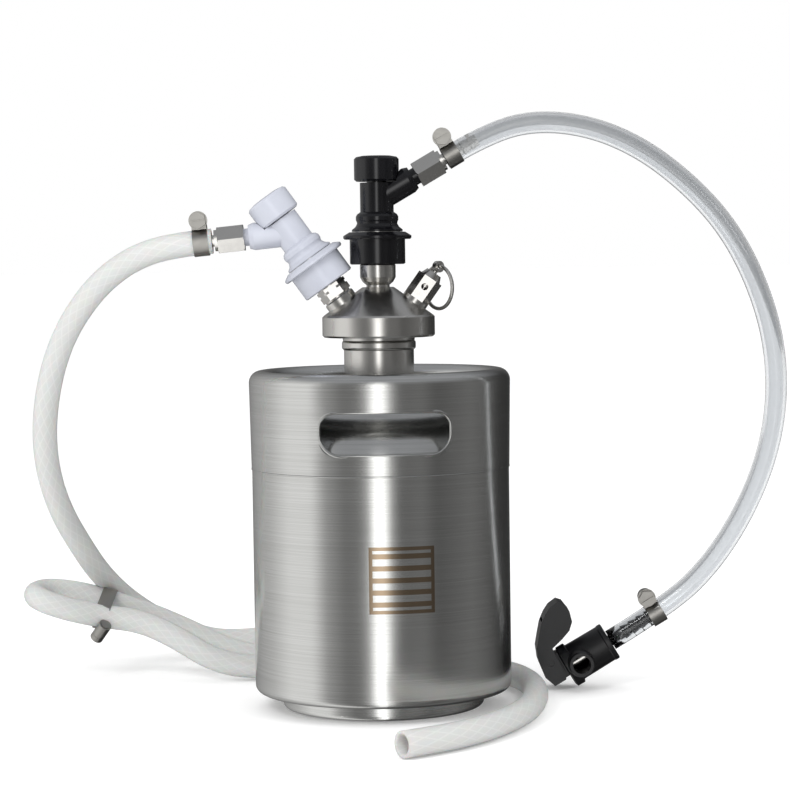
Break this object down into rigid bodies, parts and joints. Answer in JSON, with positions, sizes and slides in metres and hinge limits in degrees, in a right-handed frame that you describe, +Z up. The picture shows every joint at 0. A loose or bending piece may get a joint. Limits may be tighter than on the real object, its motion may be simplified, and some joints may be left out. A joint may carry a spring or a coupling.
{
  "type": "beer keg",
  "caption": "Stainless mini beer keg with a screwed dispensing head, two quick disconnects, a gas hose and a clear hose with a squeeze tap.",
  "frame": {"origin": "on the keg's axis at the underside of its foot ring", "axes": "+Z up along the keg's axis, liquid hose and tap towards +X, gas hose towards -X, hand hole facing -Y"},
  "size_m": [0.4982, 0.423, 0.3683],
  "materials": {
    "brushed_steel": "brushed",
    "bright_steel": "polished",
    "black_plastic": "gloss",
    "grey_plastic": "gloss",
    "clear_hose": "clear",
    "braided_hose": "satin",
    "rubber": "matte"
  },
  "bodies": {
    "keg": {"lower_shell": "brushed_steel", "foot_ring": "brushed_steel", "upper_skirt": "brushed_steel", "top_dome": "brushed_steel", "neck": "bright_steel"},
    "seal": {"cap_gasket": "rubber"},
    "head": {"cap_body": "bright_steel", "dip_tube": "bright_steel", "dip_tube_oring": "rubber", "gas_clamp_band": "bright_steel", "gas_clamp_screw": "bright_steel", "gas_collar_spring": "bright_steel", "gas_hose": "braided_hose", "gas_hose_barb": "bright_steel", "gas_lock_balls": "bright_steel", "gas_pin_spring": "bright_steel", "gas_poppet": "bright_steel", "gas_poppet_spring": "bright_steel", "gas_post": "bright_steel", "gas_post_oring": "rubber", "gas_qd_body": "grey_plastic", "gas_qd_cap": "grey_plastic", "gas_swivel_nut": "bright_steel", "gas_valve_pin": "bright_steel", "liquid_clamp_band": "bright_steel", "liquid_clamp_screw": "bright_steel", "liquid_collar_spring": "bright_steel", "liquid_hose": "clear_hose", "liquid_hose_barb": "bright_steel", "liquid_lock_balls": "bright_steel", "liquid_pin_spring": "bright_steel", "liquid_poppet": "bright_steel", "liquid_poppet_spring": "bright_steel", "liquid_post": "bright_steel", "liquid_post_oring": "rubber", "liquid_qd_body": "black_plastic", "liquid_qd_cap": "black_plastic", "liquid_swivel_nut": "bright_steel", "liquid_valve_pin": "bright_steel", "loop_clamp_band": "bright_steel", "loop_clamp_screw": "bright_steel", "prv_body": "bright_steel", "prv_spring": "bright_steel", "tap_body": "black_plastic", "tap_clamp_band": "bright_steel", "tap_clamp_screw": "bright_steel", "tap_pin": "black_plastic", "tap_spring": "bright_steel"},
    "liquid_collar": {"liquid_qd_collar": "black_plastic"},
    "gas_collar": {"gas_qd_collar": "grey_plastic"},
    "prv_stem": {"prv_stem": "bright_steel", "prv_seal": "rubber"},
    "prv_ring": {"prv_ring": "bright_steel"},
    "tap_lever": {"tap_lever": "black_plastic"},
    "tap_plunger": {"tap_plunger": "bright_steel", "tap_seal": "rubber"}
  },
  "joints": [
    {"name": "head_lift", "type": "slide", "parent": "keg", "child": "seal", "axis": [0, 0, 1], "range_m": [0, 0.0082]},
    {"name": "head_turn", "type": "hinge", "parent": "seal", "child": "head", "pos_m": [0, 0, 0.24], "axis": [0, 0, 1], "range_deg": [0, 720]},
    {"name": "liquid_collar_slide", "type": "slide", "parent": "head", "child": "liquid_collar", "axis": [0, 0, 1], "range_m": [0, 0.0035], "stiffness_N_per_m": 2000},
    {"name": "gas_collar_slide", "type": "slide", "parent": "head", "child": "gas_collar", "axis": [-0.5807, 0, 0.8141], "range_m": [0, 0.0035], "stiffness_N_per_m": 2000},
    {"name": "prv_pull", "type": "slide", "parent": "head", "child": "prv_stem", "axis": [0.5807, 0, 0.8141], "range_m": [0, 0.002], "stiffness_N_per_m": 8000},
    {"name": "prv_ring_swing", "type": "hinge", "parent": "prv_stem", "child": "prv_ring", "pos_m": [0.0376, 0, 0.27297], "axis": [0.6222, -0.7828, 0], "range_deg": [0, 95]},
    {"name": "tap_squeeze", "type": "hinge", "parent": "head", "child": "tap_lever", "pos_m": [0.10801, 0.054, 0.01672], "axis": [0, 1, 0], "range_deg": [0, 8], "stiffness_Nm_per_rad": 0.5},
    {"name": "tap_plunge", "type": "slide", "parent": "head", "child": "tap_plunger", "axis": [-0.8599, 0, -0.5105], "range_m": [0, 0.0016]}
  ],
  "couplings": [
    {"joint": "head_lift", "follows": "head_turn", "m_per_rad": 0.00063662},
    {"joint": "tap_plunge", "follows": "tap_squeeze", "m_per_rad": 0.009}
  ]
}
